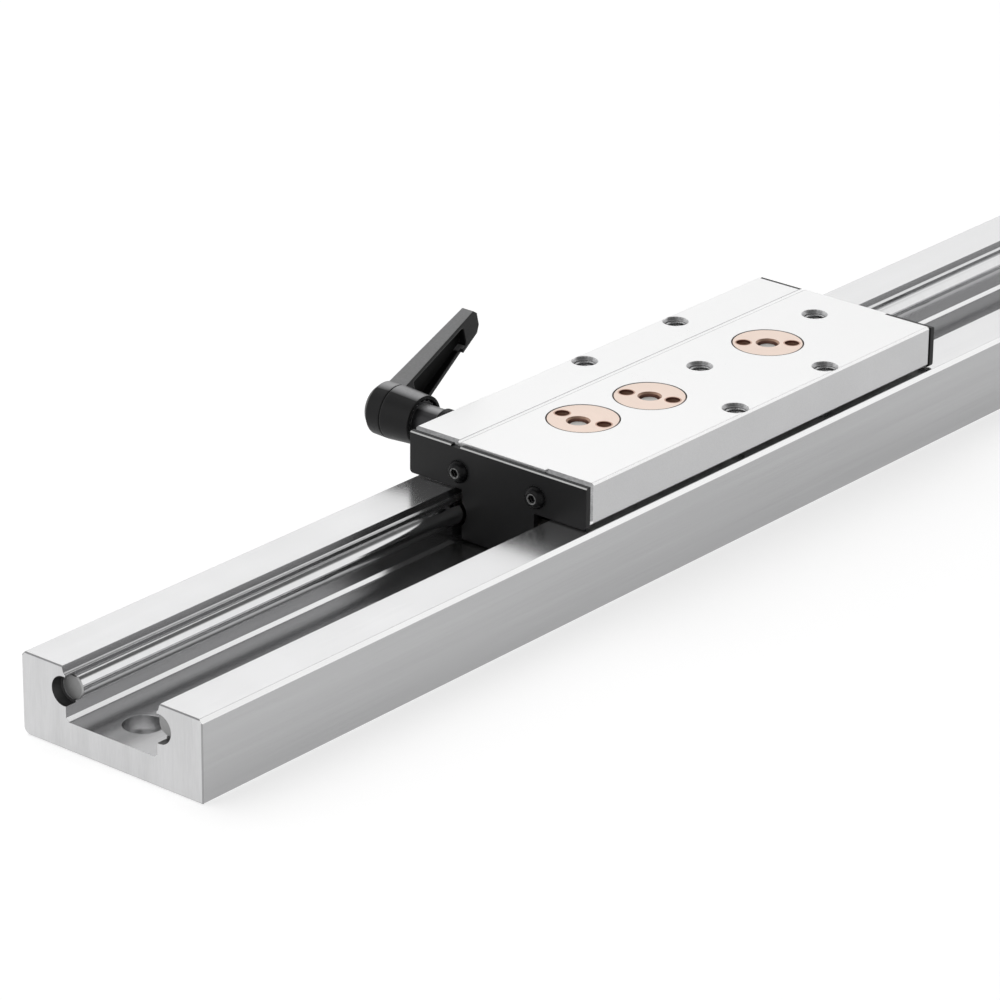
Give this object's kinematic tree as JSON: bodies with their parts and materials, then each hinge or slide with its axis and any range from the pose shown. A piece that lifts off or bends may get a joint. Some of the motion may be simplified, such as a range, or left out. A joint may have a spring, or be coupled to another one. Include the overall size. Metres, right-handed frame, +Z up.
{
  "type": "linear guide rail",
  "caption": "Square linear guide: aluminium channel rail with two round steel rods, roller carriage with threaded table, black end plates and a clamping lever.",
  "frame": {"origin": "centre of the rail's underside at half its length", "axes": "+X across the rail towards the wall away from the lever, +Y along the rail away from the end that is nearest in the picture, +Z up"},
  "size_m": [0.0816, 0.42, 0.0412],
  "materials": {
    "rail_aluminium": "anodised satin, drawn along its length",
    "rod_steel": "ground and hardened",
    "block_aluminium": "fine satin, milled ends",
    "plate_plastic": "smooth black",
    "screw_steel": "black oxide",
    "felt": "oiled felt",
    "bushing_copper": "turned, satin",
    "axle_steel": "turned",
    "spacer_steel": "turned",
    "ring_steel": "ground",
    "ball_steel": "polished",
    "shield_steel": "pressed sheet",
    "washer_steel": "black oxide",
    "shoe_plastic": "machined",
    "pad_rubber": "matte",
    "stud_steel": "turned",
    "insert_steel": "black oxide",
    "spring_steel": "drawn wire",
    "lever_plastic": "fine moulded grain"
  },
  "bodies": {
    "rail": {"rail_body": "rail_aluminium", "rod_left": "rod_steel", "rod_right": "rod_steel"},
    "carriage": {"carriage_block": "block_aluminium", "end_plate_front": "plate_plastic", "end_plate_rear": "plate_plastic", "plate_screws_front": "screw_steel", "plate_screws_rear": "screw_steel", "oil_felts_front": "felt", "oil_felts_rear": "felt", "bushing_1": "bushing_copper", "bushing_2": "bushing_copper", "bushing_3": "bushing_copper", "axle_1": "axle_steel", "axle_2": "axle_steel", "axle_3": "axle_steel", "spacer_1": "spacer_steel", "spacer_2": "spacer_steel", "spacer_3": "spacer_steel", "inner_ring_1": "ring_steel", "inner_ring_2": "ring_steel", "inner_ring_3": "ring_steel", "stud_washer": "washer_steel"},
    "track_roller_1": {"roller_1": "ring_steel", "balls_1": "ball_steel", "shields_1": "shield_steel"},
    "track_roller_2": {"roller_2": "ring_steel", "balls_2": "ball_steel", "shields_2": "shield_steel"},
    "track_roller_3": {"roller_3": "ring_steel", "balls_3": "ball_steel", "shields_3": "shield_steel"},
    "brake": {"brake_shoe": "shoe_plastic", "brake_pad": "pad_rubber"},
    "lock_stud": {"brake_stud": "stud_steel", "lever_insert": "insert_steel", "lever_screw": "insert_steel", "lever_spring": "spring_steel"},
    "lever": {"lever_handle": "lever_plastic"}
  },
  "joints": [
    {"name": "carriage_slide", "type": "slide", "parent": "rail", "child": "carriage", "axis": [0, 1, 0], "range_m": [-0.131, 0.151]},
    {"name": "roller_1_spin", "type": "hinge", "parent": "carriage", "child": "track_roller_1", "pos_m": [-0.0015, -0.049, 0.014], "axis": [0, 0, 1], "continuous": true},
    {"name": "roller_2_spin", "type": "hinge", "parent": "carriage", "child": "track_roller_2", "pos_m": [0.0015, -0.0255, 0.014], "axis": [0, 0, 1], "continuous": true},
    {"name": "roller_3_spin", "type": "hinge", "parent": "carriage", "child": "track_roller_3", "pos_m": [0.0015, 0.0215, 0.014], "axis": [0, 0, 1], "continuous": true},
    {"name": "brake_feed", "type": "slide", "parent": "carriage", "child": "brake", "axis": [1, 0, 0], "range_m": [-0.000069, 0.00026]},
    {"name": "lock_turn", "type": "hinge", "parent": "brake", "child": "lock_stud", "pos_m": [0, -0.0645, 0.0268], "axis": [1, 0, 0], "range_deg": [-25, 95]},
    {"name": "lever_lift", "type": "slide", "parent": "lock_stud", "child": "lever", "axis": [-1, 0, 0], "range_m": [0, 0.0032], "stiffness_N_per_m": 600, "springref_m": -0.003, "deforming": ["lever_spring"]}
  ],
  "couplings": [
    {"joint": "roller_1_spin", "follows": "carriage_slide", "rad_per_m": 102.04},
    {"joint": "roller_2_spin", "follows": "carriage_slide", "rad_per_m": -102.04},
    {"joint": "roller_3_spin", "follows": "carriage_slide", "rad_per_m": -102.04},
    {"joint": "lock_turn", "follows": "brake_feed", "rad_per_m": 6283.2}
  ]
}
